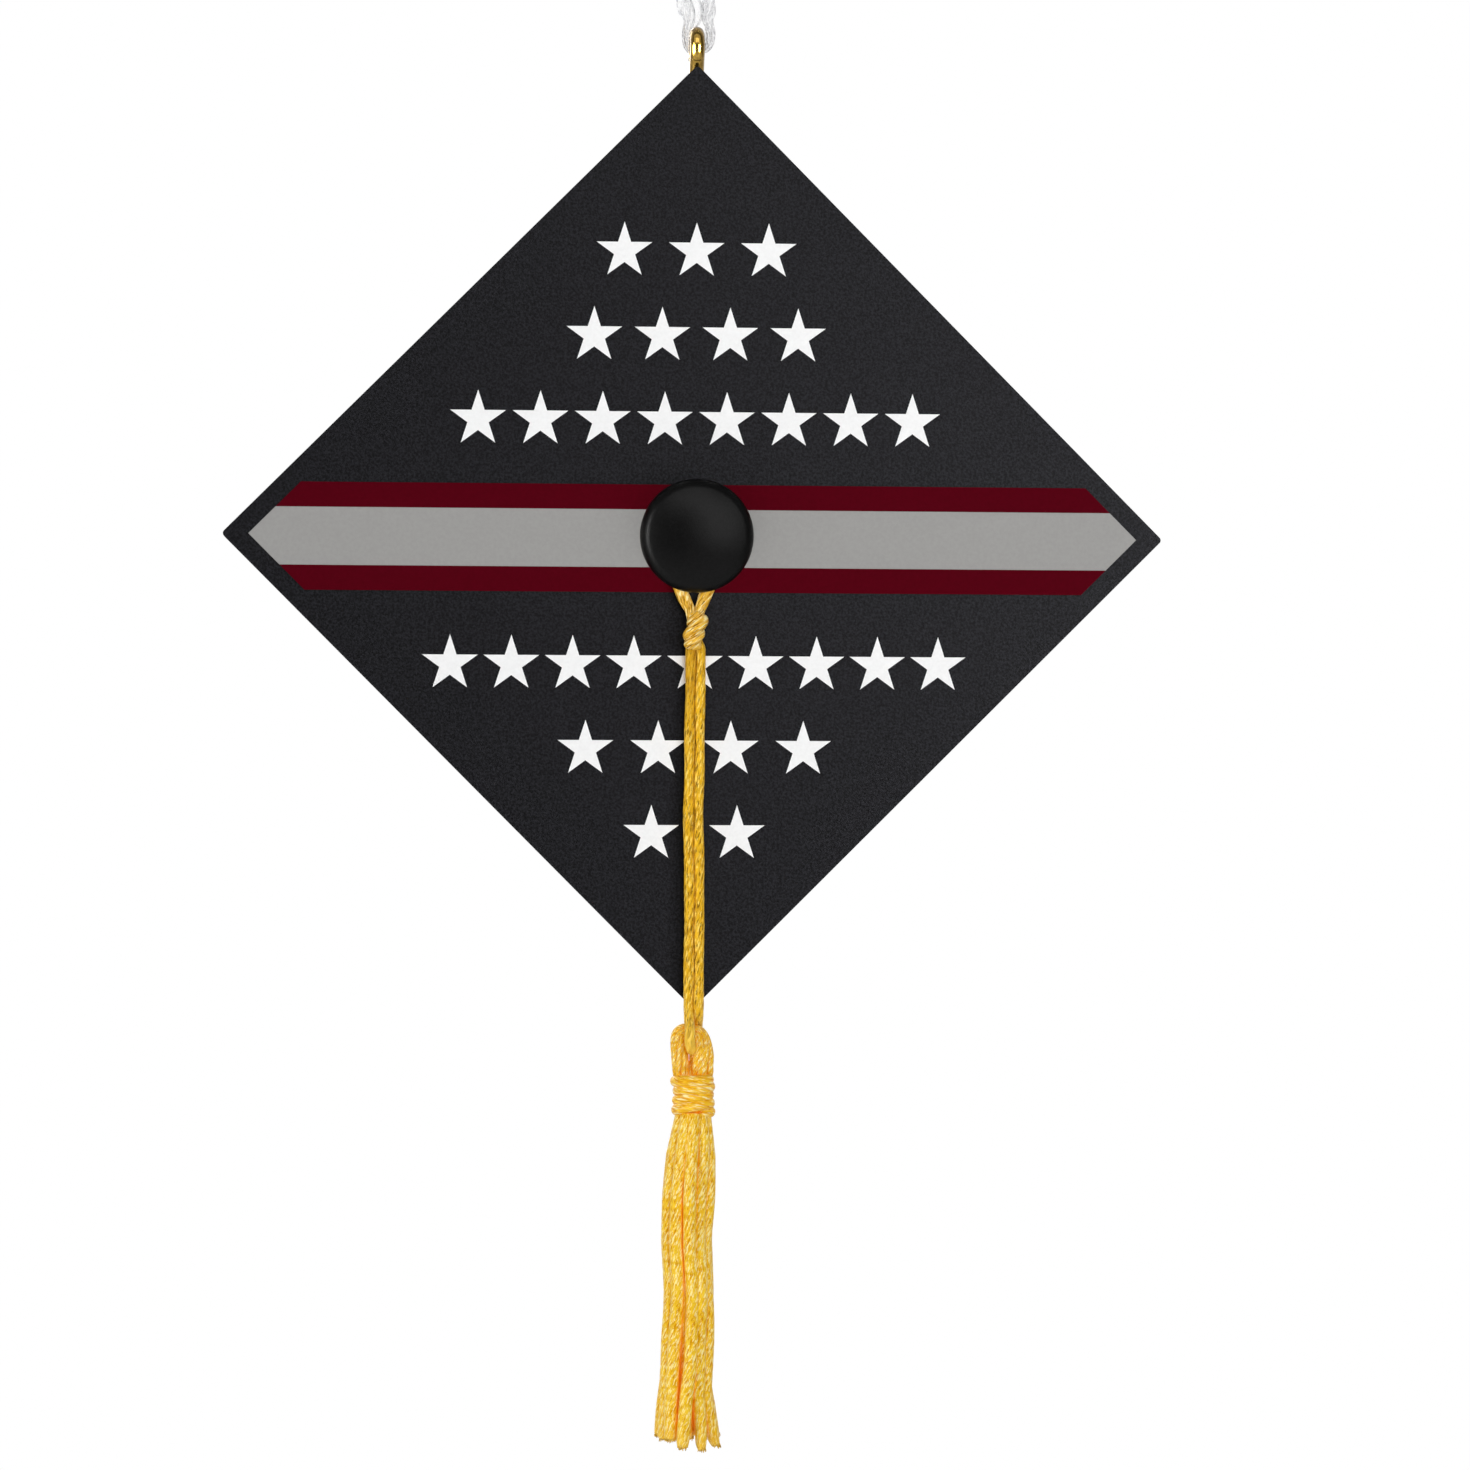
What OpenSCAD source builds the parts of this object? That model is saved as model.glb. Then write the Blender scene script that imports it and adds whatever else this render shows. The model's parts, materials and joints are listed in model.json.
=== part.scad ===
// Hanging ornament in the shape of a graduation cap.
// The origin is the centre of the brass eye's hole. +Z is up, the printed face looks along -Y.
// "Front" distances are measured from the board's middle plane towards -Y, "back" ones towards +Y.

/* [Board] */
// Side of the square board, which hangs on one corner
board_side = 67; // [62:1:76]
// Thickness of the board
board_t = 3.2; // [3:0.2:4.4]
// Rounding of the board's four corners
board_corner_r = 0.4; // [0.3:0.1:1.2]

/* [Printing] */
// Height of the grey band across the middle
grey_h = 5.8; // [4:0.2:7]
// Height of each maroon band above and below the grey one
maroon_h = 2.5; // [1.5:0.1:3]
// Margin between the ends of the bands and the board's edges
band_margin = 1.9; // [1.2:0.1:3]
// Thickness of a printed layer
ink_t = 0.05; // [0.03:0.01:0.06]
// Height of one printed star
star_h = 5.3; // [4:0.1:5.6]
// Height of the lowest row of stars above the centre
upper_row_z = 11.9; // [11:0.1:13]
// Depth of the highest row of stars below the centre
lower_row_z = 12.6; // [12:0.1:13.5]
// Distance between rows of stars
row_pitch = 8.5; // [7.5:0.1:8.8]

/* [Button] */
// Diameter of the button's head
button_d = 11.4; // [10:0.2:13]
// Gap between the board and the head, where the cord passes
button_lift = 1.35; // [1.3:0.05:1.8]
// Height of the head
button_h = 3.25; // [2.75:0.25:4]
// Diameter of the shoulder that stands on the board
shoulder_d = 4; // [3.6:0.1:4]
// Diameter of the tenon that goes through the board
tenon_d = 3; // [2.6:0.1:3.2]

/* [Crown] */
// Outer diameter of the crown where it meets the board
crown_d = 43; // [36:1:46]
// Outer diameter of the crown's band at its open rim
crown_rim_d = 49; // [47:1:54]
// Depth of the crown
crown_h = 18; // [14:1:22]
// Thickness of the crown's wall and web
crown_wall = 1.6; // [1.4:0.1:2]
// Width of the raised band along the rim
crown_band_w = 6; // [4:0.5:8]
// Distance of the two locating pegs from the centre
peg_offset = 14; // [10:1:16]

/* [Eye] */
// Radius of the eye's ring, to the middle of its wire
eye_ring_r = 1.4; // [1.35:0.05:1.6]
// Radius of the eye's wire
eye_wire_r = 0.7; // [0.6:0.05:0.7]
// Length of the shank that is screwed into the board
shank_l = 9; // [6:0.5:12]

/* [Cord] */
// Radius of one strand of the cord
cord_r = 0.52; // [0.4:0.02:0.54]
// Radius of the knot below the button
knot_r = 1.2; // [1.1:0.05:1.3]
// Distance from the button's axis to the knot's upper half
knot_z = 8.4; // [8.2:0.1:9]
// Distance from the button's axis to the middle of the bight at the cord's end
bight_z = 50.15; // [50:0.1:54]

/* [Tassel] */
// Radius of the yarn bundle folded over the cord
fold_r = 0.9; // [0.7:0.05:0.9]
// Radius of the binding's cord
binding_cord_r = 0.575; // [0.5:0.025:0.6]
// Turns of the binding
binding_turns = 4; // [3:1:6]
// Outer radius of the binding
binding_r = 2.2; // [2.2:0.05:2.5]
// Length of the skirt below the binding
skirt_l = 33.3; // [24:0.1:40]
// Outer radius of the skirt where it leaves the binding
skirt_top_r = 1.9; // [1.8:0.05:2.1]
// Outer radius of the skirt at its lower end
skirt_end_r = 3.4; // [3:0.1:4]

/* [Ribbon] */
// Radius of the gathered ribbon where it passes through the eye
ribbon_r = 0.55; // [0.4:0.05:0.6]
// Height of the ribbon loop from the eye to its knot
ribbon_h = 50; // [40:1:70]
// Half the loop's width at its widest place
ribbon_half_w = 9; // [6:0.5:12]
// Width of the opened ribbon, front to back
ribbon_band_w = 4.4; // [3:0.2:6]
// Thickness of the ribbon's folded band
ribbon_t = 0.9; // [0.6:0.1:1.2]

/* [Hidden] */
$fn = 64;

gap = 0.05; // running clearance between neighbouring solids
front_face = board_t / 2;
// Reach of the board's corners from its centre
corner_reach = board_side / sqrt(2) - board_corner_r * (sqrt(2) - 1);
// The eye's ring stands on the top corner, so this is the board's centre
centre_z = -(eye_ring_r + eye_wire_r + corner_reach);

// Number of stars and width of each row, counted outwards from the bands
UPPER_ROWS = [[8, 49.3], [4, 26.1], [3, 20.1]];
LOWER_ROWS = [[9, 54.7], [4, 27.5], [2, 14.2]];
band_z = -0.2; // middle of the grey band

tenon_clearance = 0.1;
tenon_hole_r = tenon_d / 2 + tenon_clearance;
pilot_r = 0.8;
pilot_depth = 3.7;
washer_t = 0.5;
peg_r = 1;
peg_l = 1.4;
web_back = front_face + crown_wall; // back face of the crown's web
rim_back = front_face + crown_h; // the crown's open rim

strand_front = front_face + 0.1 + cord_r; // the cord lies this far in front
strand_x = cord_r + 0.04;
knot_front = front_face + 0.1 + knot_r;
knot_l = 1.9; // between the middles of the knot's two halves
bight_r = cord_r + fold_r + gap; // bight and fold are two linked rings
bight_wire_r = cord_r - 0.02;
fold_z = bight_z + bight_r; // the fold turns about this height below the button
fold_leg_l = 2.25;
binding_z = fold_z + fold_leg_l + gap; // top of the binding
binding_l = 2 * binding_cord_r * binding_turns;
skirt_z = binding_z + binding_l + gap; // top of the skirt

ribbon_turn_r = eye_wire_r + ribbon_r + gap; // the ribbon turns round the eye's wire
ribbon_neck_z = 7; // the gathered ribbon opens into a band here

// ---------- shared shapes ----------

// Moves a shape to the board's centre
module at_centre() {
  translate([0, 0, centre_z]) children();
}

// Turns a profile of [radius, front distance] points about the button's axis
module turned(profile) {
  at_centre()
    rotate([90, 0, 0])
      rotate_extrude()
        polygon(profile);
}

// A round bar along the button's axis, between two back distances
module bar_y(r, back_from, back_to) {
  translate([0, back_to, 0])
    rotate([90, 0, 0])
      cylinder(r = r, h = back_to - back_from);
}

// Points of a square outline with rounded corners, one of which points up
function diamond(side, r, steps = 6) = [
  for (corner = [0 : 3], i = [0 : steps])
    let (
      out = 45 + 90 * corner,
      turn = out - 45 + 90 * i / steps,
      mid = (side / 2 - r) * sqrt(2)
    )
    [
      mid * cos(out + 45) + r * cos(turn + 45),
      mid * sin(out + 45) + r * sin(turn + 45),
    ]
];

// A flat outline on the board's front face, drawn as seen from the front
module on_front(thickness) {
  at_centre()
    translate([0, -front_face, 0])
      rotate([90, 0, 0])
        linear_extrude(height = thickness)
          children();
}

// Full ring of round wire about the X axis
module ring_x(r, wire_r) {
  rotate([0, 90, 0])
    rotate_extrude()
      translate([r, 0])
        circle(r = wire_r);
}

// A strand between two points, given as [x, y, z] from the board's centre
module strand(from, to, r) {
  run = to - from;
  length = norm(run);
  at_centre()
    translate(from)
      rotate([0, acos(run[2] / length), atan2(run[1], run[0])])
        cylinder(r = r, h = length);
}

// ---------- board and its printing ----------

module board() {
  color([0.11, 0.11, 0.12])
    difference() {
      at_centre()
        rotate([90, 0, 0])
          translate([0, 0, -front_face])
            linear_extrude(height = board_t)
              polygon(diamond(board_side, board_corner_r));
      at_centre() bar_y(tenon_hole_r, -board_t, board_t);
      for (side = [-1, 1])
        at_centre()
          translate([side * peg_offset, 0, 0])
            bar_y(peg_r + gap, front_face - peg_l - 0.1, board_t);
      translate([0, 0, -eye_ring_r - shank_l - 0.1])
        cylinder(r = eye_wire_r, h = shank_l);
    }
}

// Part of the board's face between two heights, inside the margin
module band(low, high) {
  intersection() {
    rotate(45) square(board_side - 2 * band_margin, center = true);
    translate([-board_side, low]) square([2 * board_side, high - low]);
  }
}

module print_band_grey() {
  color([0.6, 0.6, 0.59])
    on_front(ink_t)
      difference() {
        band(band_z - grey_h / 2, band_z + grey_h / 2);
        circle(d = shoulder_d + 0.4);
      }
}

module print_band_maroon() {
  color([0.32, 0.01, 0.08])
    on_front(ink_t)
      for (low = [band_z + grey_h / 2, band_z - grey_h / 2 - maroon_h])
        band(low, low + maroon_h);
}

// One five-pointed star of the given height
module star(height) {
  outer = height / (1 + cos(36));
  inner = outer * cos(72) / cos(36);
  polygon([
    for (i = [0 : 9])
      let (r = i % 2 == 0 ? outer : inner)
      [r * sin(36 * i), r * cos(36 * i) - (outer - height / 2)]
  ]);
}

// A row of stars, centred, that fills the given width
module star_row(count, width, height) {
  star_w = 2 * star_h * sin(72) / (1 + cos(36));
  pitch = (width - star_w) / (count - 1);
  for (i = [0 : count - 1])
    translate([(i - (count - 1) / 2) * pitch, height])
      star(star_h);
}

module print_stars_upper() {
  color("white")
    on_front(ink_t)
      for (row = [0 : len(UPPER_ROWS) - 1])
        star_row(UPPER_ROWS[row][0], UPPER_ROWS[row][1], upper_row_z + row * row_pitch);
}

module print_stars_lower() {
  color("white")
    on_front(ink_t)
      for (row = [0 : len(LOWER_ROWS) - 1])
        star_row(LOWER_ROWS[row][0], LOWER_ROWS[row][1], -lower_row_z - row * row_pitch);
}

// ---------- button, crown and fixings ----------

module button() {
  head_r = button_d / 2;
  under = front_face + button_lift;
  under_bevel = 0.4;
  top = under + button_h;
  dome_angle = 23; // slope of the dome where the rounded shoulder begins
  shoulder_r = 1.6;
  dome_r = (head_r - shoulder_r * (1 - sin(dome_angle))) / sin(dome_angle);
  dome_drop = dome_r * (1 - cos(dome_angle));
  steps = 8;
  color([0.1, 0.1, 0.1])
    difference() {
      turned(concat(
        [
          [0, -web_back + 0.1],
          [tenon_d / 2, -web_back + 0.1],
          [tenon_d / 2, front_face],
          [shoulder_d / 2, front_face],
          [shoulder_d / 2, under],
          [head_r - under_bevel, under],
          [head_r, under + under_bevel],
        ],
        [
          for (i = [0 : steps - 1])
            let (a = 90 - (90 - dome_angle) * i / steps)
            [
              head_r - shoulder_r * (1 - sin(a)),
              top - dome_drop - shoulder_r * (cos(dome_angle) - cos(a)),
            ]
        ],
        [
          for (i = [0 : steps])
            let (a = dome_angle * (1 - i / steps))
            [dome_r * sin(a), top - dome_r * (1 - cos(a))]
        ]
      ));
      at_centre() bar_y(pilot_r, web_back - pilot_depth, web_back + 1);
    }
}

// Outer radius of the crown's wall at a share t of its depth: it swells out, then runs straight to the rim
function crown_r(t) = crown_d / 2 + (crown_rim_d - crown_d) / 2 * sin(90 * t);

module crown() {
  steps = 10;
  band_step = 0.25;
  band_t = 1 - crown_band_w / crown_h; // the band starts at this share of the depth
  color([0.13, 0.13, 0.14])
    union() {
      turned(concat(
        [
          [tenon_hole_r, -front_face],
          [crown_r(0) - 0.5, -front_face],
        ],
        [
          for (i = [0 : steps])
            let (t = band_t * (0.03 + 0.97 * i / steps))
            [crown_r(t), -front_face - crown_h * t]
        ],
        [
          for (i = [0 : 4])
            let (t = band_t + (1 - band_t) * (0.03 + 0.94 * i / 4))
            [crown_r(t) + band_step, -front_face - crown_h * t]
        ],
        [
          [crown_r(1), -rim_back],
        ],
        [
          for (i = [steps : -1 : 0])
            let (t = i / steps)
            [crown_r(t) - crown_wall, -web_back - (crown_h - crown_wall) * t]
        ],
        [
          [tenon_hole_r, -web_back],
        ]
      ));
      for (side = [-1, 1])
        at_centre()
          translate([side * peg_offset, 0, 0])
            bar_y(peg_r, front_face - peg_l, web_back - 0.2);
    }
}

module screw_washer() {
  color([0.72, 0.72, 0.74])
    at_centre()
      difference() {
        bar_y(2.5, web_back, web_back + washer_t);
        bar_y(1.05, web_back - 1, web_back + 1);
      }
}

module button_screw() {
  seat = web_back + washer_t;
  head_h = 1.3;
  shank_end = web_back - pilot_depth + 0.4;
  shank_r = pilot_r - 0.02;
  color([0.75, 0.75, 0.77])
    difference() {
      turned([
        [0, -shank_end],
        [0.3, -shank_end],
        [shank_r, -shank_end - 0.6],
        [shank_r, -seat],
        [1.9, -seat],
        [1.9, -seat - 0.7],
        [1.5, -seat - 1.1],
        [0.9, -seat - head_h],
        [0, -seat - head_h],
      ]);
      for (turn = [0, 90])
        at_centre()
          translate([0, seat + head_h, 0])
            rotate([0, turn, 0])
              cube([2.2, 1.4, 0.5], center = true);
    }
}

module screw_eye() {
  shank_r = eye_wire_r - gap;
  point_l = 1.5;
  color([0.72, 0.55, 0.2])
    union() {
      ring_x(eye_ring_r, eye_wire_r);
      translate([0, 0, -eye_ring_r - shank_l + point_l])
        cylinder(r = shank_r, h = shank_l - point_l);
      translate([0, 0, -eye_ring_r - shank_l])
        cylinder(r1 = 0.1, r2 = shank_r, h = point_l);
    }
}

// ---------- tassel cord ----------

// The closed end of the cord lies round the button's shoulder, and two legs run down to the knot
module cord_loop() {
  loop_r = shoulder_d / 2 + 0.1 + cord_r;
  loop_front = front_face + button_lift - 0.15 - cord_r;
  leg_end_z = knot_z - knot_r - 0.1;
  color([0.85, 0.62, 0.2])
    union() {
      at_centre()
        translate([0, -loop_front, 0])
          rotate([90, 0, 0])
            rotate_extrude()
              translate([loop_r, 0])
                circle(r = cord_r - 0.02);
      for (side = [-1, 1])
        strand(
          [side * loop_r * cos(30), -loop_front, -loop_r * sin(30)],
          [side * 0.6, -strand_front, -leg_end_z],
          cord_r - 0.04
        );
    }
}

// Two halves, the upper one centred on the hinge so that it turns in place
module cord_knot() {
  color([0.85, 0.62, 0.2])
    at_centre()
      translate([0, -knot_front, -knot_z])
        union() {
          sphere(r = knot_r);
          translate([0, 0, -knot_l]) sphere(r = knot_r);
          translate([0, 0, -knot_l]) cylinder(r = knot_r * 0.8, h = knot_l);
        }
}

module cord_strand(side) {
  top = knot_z + knot_l + knot_r + gap;
  bottom = bight_z - bight_r - bight_wire_r - gap;
  color([0.85, 0.62, 0.2])
    strand(
      [side * strand_x, -strand_front, -top],
      [side * strand_x, -strand_front, -bottom],
      cord_r
    );
}

module cord_left() {
  cord_strand(-1);
}

module cord_right() {
  cord_strand(1);
}

module cord_bight() {
  color([0.85, 0.62, 0.2])
    at_centre()
      translate([0, -strand_front, -bight_z])
        ring_x(bight_r, bight_wire_r);
}

// ---------- tassel ----------

// The yarn bundle: an arch through the cord's bight, two legs and a neck inside the binding
module tassel_fold() {
  neck_r = binding_r - 2 * binding_cord_r + 0.5;
  color([0.9, 0.66, 0.24])
    at_centre()
      translate([0, -strand_front, -fold_z])
        union() {
          rotate([90, 0, 0])
            rotate_extrude(angle = 180)
              translate([bight_r, 0])
                circle(r = fold_r);
          for (side = [-1, 1])
            translate([side * bight_r, 0, -fold_leg_l])
              cylinder(r1 = fold_r - 0.1, r2 = fold_r, h = fold_leg_l);
          translate([0, 0, -fold_leg_l - binding_l])
            cylinder(r = neck_r, h = binding_l + 0.5);
        }
}

// Round turns of cord about the neck
module tassel_binding() {
  wire_r = binding_cord_r;
  bore_r = binding_r - 2 * wire_r + 0.5 + gap;
  crest_r = binding_r - wire_r;
  steps = 8;
  color([0.88, 0.62, 0.2])
    at_centre()
      translate([0, -strand_front, -binding_z - binding_l])
        rotate_extrude()
          polygon(concat(
            [[bore_r, binding_l], [bore_r, 0]],
            [
              for (turn = [0 : binding_turns - 1], i = [0 : steps - 1])
                let (a = -75 + 150 * i / (steps - 1))
                [crest_r + wire_r * cos(a), wire_r * (2 * turn + 1 + sin(a))]
            ]
          ));
}

// One skirt strand: it leans out from the top ring to the end ring
module skirt_strand(top_ring, end_ring, top_r, end_r, turn) {
  lean = atan2(end_ring - top_ring, skirt_l);
  at_centre()
    translate([0, -strand_front, -skirt_z])
      rotate([0, 0, turn])
        translate([top_ring, 0, 0])
          rotate([0, -lean, 0])
            translate([0, 0, -skirt_l])
              cylinder(r1 = end_r, r2 = top_r, h = skirt_l - 0.2);
}

// Ring 0 is the middle strand, 1 the five round it, 2 the ten outer ones
module skirt_ring(ring) {
  count = ring == 0 ? 1 : 5 * ring;
  top_r = skirt_top_r / 5.2;
  end_r = skirt_end_r / 5.2;
  top_ring = ring * (skirt_top_r - top_r) / 2;
  end_ring = ring * (skirt_end_r - end_r) / 2;
  color([0.9, 0.66, 0.24])
    for (i = [0 : count - 1])
      skirt_strand(top_ring, end_ring, top_r, end_r, 360 * (i + 0.5) / count);
}

module skirt_core_strand() {
  skirt_ring(0);
}

module skirt_inner_strands() {
  skirt_ring(1);
}

module skirt_outer_strands() {
  skirt_ring(2);
}

// ---------- ribbon ----------

// Half-width of the loop, from the neck (t = 0) to the knot (t = 1)
function loop_x(t) = ribbon_turn_r + (ribbon_half_w - ribbon_turn_r) * pow(sin(180 * pow(t, 0.8)), 1.2);

module ribbon_loop() {
  top_z = ribbon_h - 2.4;
  steps = 16;
  side_points = [
    for (i = [0 : steps])
      let (t = i / steps)
      [loop_x(t), ribbon_neck_z + (top_z - ribbon_neck_z) * t]
  ];
  color([0.95, 0.95, 0.97, 0.6])
    union() {
      translate([0, 0, eye_ring_r])
        rotate([90, 0, 0])
          rotate_extrude(angle = 180, start = 180)
            translate([ribbon_turn_r, 0])
              circle(r = ribbon_r);
      for (side = [-1, 1])
        translate([side * ribbon_turn_r, 0, eye_ring_r])
          cylinder(r1 = ribbon_r, r2 = ribbon_r * 0.9, h = ribbon_neck_z - eye_ring_r + 0.5);
      for (side = [0, 1])
        mirror([side, 0, 0])
          rotate([90, 0, 0])
            translate([0, 0, -ribbon_band_w / 2])
              linear_extrude(height = ribbon_band_w)
                polygon(concat(
                  [for (p = side_points) [p[0] + ribbon_t / 2, p[1]]],
                  [for (i = [steps : -1 : 0]) [side_points[i][0] - ribbon_t / 2, side_points[i][1]]]
                ));
    }
}

module ribbon_knot() {
  color([0.95, 0.95, 0.97, 0.8])
    translate([0, 0, ribbon_h])
      sphere(r = 2.3);
}

module ribbon_tails() {
  color([0.95, 0.95, 0.97, 0.6])
    for (side = [-1, 1])
      translate([0, 0, ribbon_h])
        rotate([0, side * 24, 0])
          translate([-0.5, -2, 2.5])
            cube([1, 4, 11]);
}

board();
crown();
button();
button_screw();
screw_washer();
screw_eye();
print_band_grey();
print_band_maroon();
print_stars_upper();
print_stars_lower();
cord_loop();
cord_knot();
cord_left();
cord_right();
cord_bight();
tassel_fold();
tassel_binding();
skirt_core_strand();
skirt_inner_strands();
skirt_outer_strands();
ribbon_loop();
ribbon_knot();
ribbon_tails();
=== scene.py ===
"""Looks of a hanging graduation-cap ornament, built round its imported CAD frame.

Lengths are in millimetres unless a comment says metres; at() turns them into metres in the row frame.
A place is given as (across, front, down): to the right of the button's axis, in front of the board's
middle plane, and below the button's axis.
"""

import json
import math
import random

import bpy
import numpy as np
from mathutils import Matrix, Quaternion, Vector


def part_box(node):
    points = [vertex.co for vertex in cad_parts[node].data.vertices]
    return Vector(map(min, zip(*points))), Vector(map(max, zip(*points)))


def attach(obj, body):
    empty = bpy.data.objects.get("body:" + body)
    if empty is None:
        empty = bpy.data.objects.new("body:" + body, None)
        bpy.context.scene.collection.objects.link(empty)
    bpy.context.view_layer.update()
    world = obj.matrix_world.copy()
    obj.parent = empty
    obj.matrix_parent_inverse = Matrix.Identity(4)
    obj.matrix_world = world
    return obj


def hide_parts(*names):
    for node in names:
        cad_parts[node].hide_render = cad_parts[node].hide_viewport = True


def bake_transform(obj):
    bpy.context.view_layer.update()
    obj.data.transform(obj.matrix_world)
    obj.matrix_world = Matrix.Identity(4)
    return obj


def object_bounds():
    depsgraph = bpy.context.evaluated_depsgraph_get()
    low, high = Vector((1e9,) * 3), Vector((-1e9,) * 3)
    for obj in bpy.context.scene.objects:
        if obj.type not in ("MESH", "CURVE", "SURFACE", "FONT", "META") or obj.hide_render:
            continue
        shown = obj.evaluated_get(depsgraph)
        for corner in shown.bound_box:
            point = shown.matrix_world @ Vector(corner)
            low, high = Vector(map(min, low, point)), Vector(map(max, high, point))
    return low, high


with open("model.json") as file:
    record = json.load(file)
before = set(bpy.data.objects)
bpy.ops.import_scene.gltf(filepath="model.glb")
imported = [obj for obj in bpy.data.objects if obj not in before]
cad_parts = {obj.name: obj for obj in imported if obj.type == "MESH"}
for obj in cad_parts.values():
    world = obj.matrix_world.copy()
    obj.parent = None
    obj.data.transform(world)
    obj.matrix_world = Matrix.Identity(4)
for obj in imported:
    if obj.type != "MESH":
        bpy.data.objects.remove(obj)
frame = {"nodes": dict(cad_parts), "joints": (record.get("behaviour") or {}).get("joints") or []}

cad_low, cad_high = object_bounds()
rng = random.Random(7)

MM = 0.001
TURN = 2 * math.pi

# ---------- places and sizes taken from the frame ----------


def joint_place(name):
    """A hinge's place, in metres."""
    return np.array([j for j in frame["joints"] if j["name"] == name][0]["pos_m"])


BUTTON_AXIS = joint_place("cord_turn")
BOARD_LOW, BOARD_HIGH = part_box("board")
BOARD_FRONT = -BOARD_LOW.y / MM
CORNER_REACH = BOARD_HIGH.x / MM
HEAD_LOW, HEAD_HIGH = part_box("button")
HEAD_R = HEAD_HIGH.x / MM
HEAD_TOP = -HEAD_LOW.y / MM
CORD_LOW, CORD_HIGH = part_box("cord_right")
CORD_R = (CORD_HIGH.x - CORD_LOW.x) / 2 / MM
CORD_X = (CORD_HIGH.x + CORD_LOW.x) / 2 / MM
CORD_FRONT = -(CORD_HIGH.y + CORD_LOW.y) / 2 / MM
KNOT_LOW, KNOT_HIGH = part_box("cord_knot")
BINDING_LOW, BINDING_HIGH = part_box("tassel_binding")
SKIRT_LOW, SKIRT_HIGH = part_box("skirt_outer_strands")
EYE_LOW, EYE_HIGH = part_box("screw_eye")
RIBBON_KNOT_LOW, RIBBON_KNOT_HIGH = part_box("ribbon_knot")


def at(across, front, down):
    """A place in the row frame, in metres."""
    return BUTTON_AXIS + np.array([across, -front, -down]) * MM


def down_to(z):
    """How far below the button's axis a height in the row frame is, in millimetres."""
    return (BUTTON_AXIS[2] - z) / MM


KNOT_TOP, KNOT_END = down_to(KNOT_HIGH.z), down_to(KNOT_LOW.z)
KNOT_FRONT = -joint_place("cord_lift")[1] / MM
BIGHT_DOWN = down_to(joint_place("tassel_tilt")[2])
FOLD_DOWN = down_to(joint_place("tassel_swing")[2])
BIGHT_R = FOLD_DOWN - BIGHT_DOWN
BINDING_TOP, BINDING_END = down_to(BINDING_HIGH.z), down_to(BINDING_LOW.z)
BINDING_R = BINDING_HIGH.x / MM
SKIRT_TOP, SKIRT_END = down_to(SKIRT_HIGH.z), down_to(SKIRT_LOW.z)
EYE_WIRE_R = EYE_HIGH.x / MM
EYE_RING_R = EYE_HIGH.z / MM - EYE_WIRE_R
RIBBON_KNOT_Z = (RIBBON_KNOT_LOW.z + RIBBON_KNOT_HIGH.z) / 2 / MM
RIBBON_HALF_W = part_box("ribbon_loop")[1].x / MM - 0.45

# ---------- paths and swept meshes ----------

FINE = 0.14 * MM  # step between the points of a cord's or yarn's path, in metres
CAP_REACH = 0.35  # how far a strand's rounded end stands out, as a share of its radius
GROOVE_DEPTH = 0.13  # plies with at least this depth show the full painted shade between them
CUT_END_SHADE = 0.3  # painted shade between the plies at a strand's cut end

def unit(vectors):
    """The same directions with length 1."""
    return vectors / np.maximum(np.linalg.norm(vectors, axis=-1, keepdims=True), 1e-12)


def run_of(points):
    """Distance along a path at each of its points."""
    steps = np.linalg.norm(np.diff(points, axis=0), axis=1)
    return np.concatenate([[0.0], np.cumsum(steps)])


def evenly(points, step):
    """The same path with evenly spaced points."""
    run = run_of(points)
    places = np.linspace(0, run[-1], max(4, int(round(run[-1] / step)) + 1))
    return np.column_stack([np.interp(places, run, points[:, k]) for k in range(3)])


def curve_through(points, step):
    """Evenly spaced points along a smooth curve through a few given ones."""
    p = np.array(points, float)
    p = np.vstack([2 * p[0] - p[1], p, 2 * p[-1] - p[-2]])
    t = np.linspace(0, 1, 24, endpoint=False)[:, None]
    dense = []
    for a, b, c, d in zip(p, p[1:], p[2:], p[3:]):
        bend = 2 * a - 5 * b + 4 * c - d
        dense.append(0.5 * (2 * b + (c - a) * t + bend * t**2 + (3 * b - a - 3 * c + d) * t**3))
    return evenly(np.vstack(dense + [p[-2:-1]]), step)


def side_directions(points, first=None):
    """For each point of a path: its direction, and two directions across it that don't twist."""
    ahead = unit(np.gradient(points, axis=0))
    side = np.array([0.0, -1.0, 0.0]) if first is None else np.array(first, float)
    if abs(side @ ahead[0]) > 0.95:
        side = np.array([1.0, 0.0, 0.0])
    sides = np.zeros_like(points)
    for i, direction in enumerate(ahead):
        side = unit(side - direction * (side @ direction))
        sides[i] = side
    return ahead, sides, np.cross(ahead, sides)


def lobes(angle, plies, depth):
    """Radius of a section of round plies, as a share of its outer radius. Depth 0 is a plain circle."""
    if plies < 2:
        return np.ones_like(angle)
    part = TURN / plies
    from_crest = (angle % part) - part / 2
    reach = 1 - depth
    return depth * np.cos(from_crest) + np.sqrt(reach**2 - (depth * np.sin(from_crest)) ** 2)


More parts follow.
